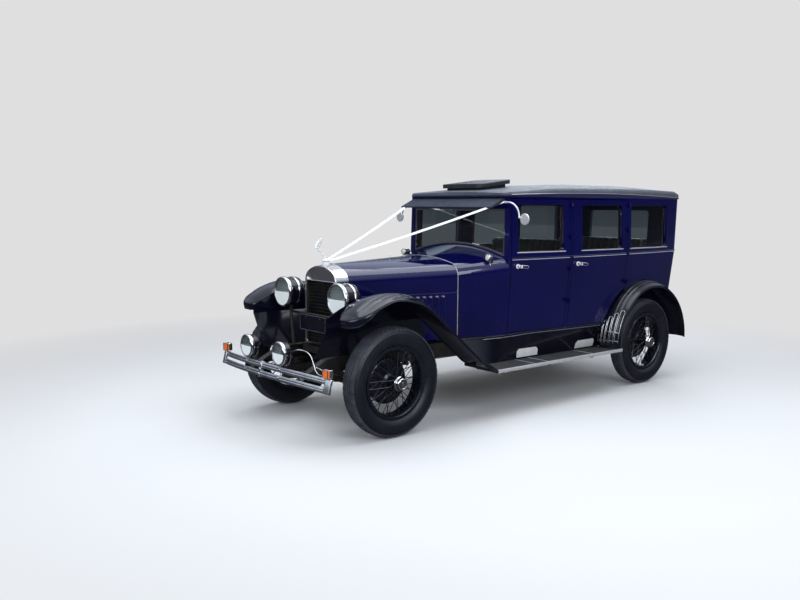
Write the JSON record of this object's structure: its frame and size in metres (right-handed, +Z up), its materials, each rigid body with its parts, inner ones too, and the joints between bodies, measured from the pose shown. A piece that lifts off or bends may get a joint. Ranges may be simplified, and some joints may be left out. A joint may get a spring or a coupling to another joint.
{
  "type": "1920s vintage saloon car",
  "caption": "Closed four-door 1920s saloon car with wire wheels, sweeping fenders, running boards, drum headlamps and a centre-hinged bonnet.",
  "frame": {"origin": "on the ground, under the middle of the car's length and width", "axes": "+X forward, +Y to the car's left, +Z up"},
  "size_m": [4.6256, 1.736, 2.008],
  "materials": {
    "black_iron": "black enamel on iron",
    "black_paint": "black gloss",
    "blue_paint": "deep blue gloss",
    "board_rubber": "ribbed rubber",
    "dash_wood": "varnished",
    "engine_iron": "engine enamel",
    "exhaust_steel": "dull steel",
    "floor_wood": "painted boards",
    "indicator_orange": "amber",
    "lamp_black": "black gloss",
    "lens_glass": "fluted",
    "nickel": "bright nickel plate",
    "plate_black": "black",
    "roof_fabric": "coated cloth",
    "seat_leather": "buttoned",
    "tyre": "black",
    "wheel_black": "black gloss",
    "wheel_rim": "black",
    "window_glass": "clear"
  },
  "bodies": {
    "chassis": {"aprons": "black_paint", "body_back": "blue_paint", "body_sides": "blue_paint", "bonnet_hinge": "nickel", "bonnet_sides": "blue_paint", "bumper": "nickel", "cowl": "blue_paint", "dashboard": "dash_wood", "driveline": "black_iron", "engine": "engine_iron", "exhaust": "exhaust_steel", "fenders": "black_paint", "fixed_glass": "window_glass", "floor": "floor_wood", "frame": "black_iron", "front_axle": "black_iron", "fuel_tank": "black_iron", "indicator_leads": "nickel", "indicators": "indicator_orange", "lamp_brackets": "black_iron", "lamp_lenses": "lens_glass", "lamps": "lamp_black", "mirrors": "nickel", "number_plate": "plate_black", "radiator_cap": "nickel", "radiator_core": "black_iron", "radiator_shell": "nickel", "rear_axle": "black_iron", "roof": "roof_fabric", "roof_hatch": "roof_fabric", "running_boards": "board_rubber", "seats": "seat_leather", "springs": "black_iron", "steering_column": "black_iron", "step_plates": "nickel", "sun_visor": "roof_fabric", "windscreen_frame": "nickel"},
    "bonnet_left": {"bonnet_left": "blue_paint"},
    "bonnet_right": {"bonnet_right": "blue_paint"},
    "knuckle_left": {"knuckle_left": "black_iron"},
    "knuckle_right": {"knuckle_right": "black_iron"},
    "tie_rod": {"tie_rod": "black_iron"},
    "steering_wheel": {"steering_wheel": "wheel_rim"},
    "front_door_left": {"front_door_left": "blue_paint", "front_door_glass_left": "window_glass"},
    "front_wheel_left": {"front_wheel_left": "wheel_black", "front_tyre_left": "tyre"},
    "rear_door_left": {"rear_door_left": "blue_paint", "rear_door_glass_left": "window_glass"},
    "rear_wheel_left": {"rear_wheel_left": "wheel_black", "rear_tyre_left": "tyre"},
    "front_door_right": {"front_door_right": "blue_paint", "front_door_glass_right": "window_glass"},
    "front_wheel_right": {"front_wheel_right": "wheel_black", "front_tyre_right": "tyre"},
    "rear_door_right": {"rear_door_right": "blue_paint", "rear_door_glass_right": "window_glass"},
    "rear_wheel_right": {"rear_wheel_right": "wheel_black", "rear_tyre_right": "tyre"}
  },
  "joints": [
    {"name": "bonnet_left_lift", "type": "hinge", "parent": "chassis", "child": "bonnet_left", "pos_m": [1.61892, 0, 1.283], "axis": [0.9993, 0, -0.0362], "range_deg": [0, 40]},
    {"name": "bonnet_right_lift", "type": "hinge", "parent": "chassis", "child": "bonnet_right", "pos_m": [1.61892, 0, 1.283], "axis": [-0.9993, 0, 0.0362], "range_deg": [0, 40]},
    {"name": "front_door_left_swing", "type": "hinge", "parent": "chassis", "child": "front_door_left", "pos_m": [-0.50878, 0.73957, 0.662], "axis": [0, 0, 1], "range_deg": [0, 65]},
    {"name": "rear_door_left_swing", "type": "hinge", "parent": "chassis", "child": "rear_door_left", "pos_m": [-1.33678, 0.76982, 0.662], "axis": [0, 0, 1], "range_deg": [0, 65]},
    {"name": "front_door_right_swing", "type": "hinge", "parent": "chassis", "child": "front_door_right", "pos_m": [-0.50878, -0.73957, 0.662], "axis": [0, 0, -1], "range_deg": [0, 65]},
    {"name": "rear_door_right_swing", "type": "hinge", "parent": "chassis", "child": "rear_door_right", "pos_m": [-1.33678, -0.76982, 0.662], "axis": [0, 0, -1], "range_deg": [0, 65]},
    {"name": "steer_left", "type": "hinge", "parent": "chassis", "child": "knuckle_left", "pos_m": [1.57122, 0.61, 0.425], "axis": [0, 0, 1], "range_deg": [-28, 28]},
    {"name": "steer_right", "type": "hinge", "parent": "chassis", "child": "knuckle_right", "pos_m": [1.57122, -0.61, 0.425], "axis": [0, 0, 1], "range_deg": [-29, 29]},
    {"name": "tie_rod_turn", "type": "hinge", "parent": "knuckle_left", "child": "tie_rod", "pos_m": [1.41122, 0.61, 0.34], "axis": [0, 0, 1], "range_deg": [-29, 29]},
    {"name": "front_wheel_left_spin", "type": "hinge", "parent": "knuckle_left", "child": "front_wheel_left", "pos_m": [1.57122, 0.715, 0.425], "axis": [0, 1, 0], "continuous": true},
    {"name": "rear_wheel_left_spin", "type": "hinge", "parent": "chassis", "child": "rear_wheel_left", "pos_m": [-1.66378, 0.715, 0.425], "axis": [0, 1, 0], "continuous": true},
    {"name": "front_wheel_right_spin", "type": "hinge", "parent": "knuckle_right", "child": "front_wheel_right", "pos_m": [1.57122, -0.715, 0.425], "axis": [0, 1, 0], "continuous": true},
    {"name": "rear_wheel_right_spin", "type": "hinge", "parent": "chassis", "child": "rear_wheel_right", "pos_m": [-1.66378, -0.715, 0.425], "axis": [0, 1, 0], "continuous": true},
    {"name": "steering_wheel_turn", "type": "hinge", "parent": "chassis", "child": "steering_wheel", "pos_m": [-0.17378, -0.284, 1.183], "axis": [-0.9011, 0, 0.4335], "range_deg": [-400, 400]}
  ],
  "couplings": [
    {"joint": "steer_right", "follows": "steer_left", "ratio": 1},
    {"joint": "tie_rod_turn", "follows": "steer_left", "ratio": -1},
    {"joint": "steering_wheel_turn", "follows": "steer_left", "ratio": 14}
  ]
}
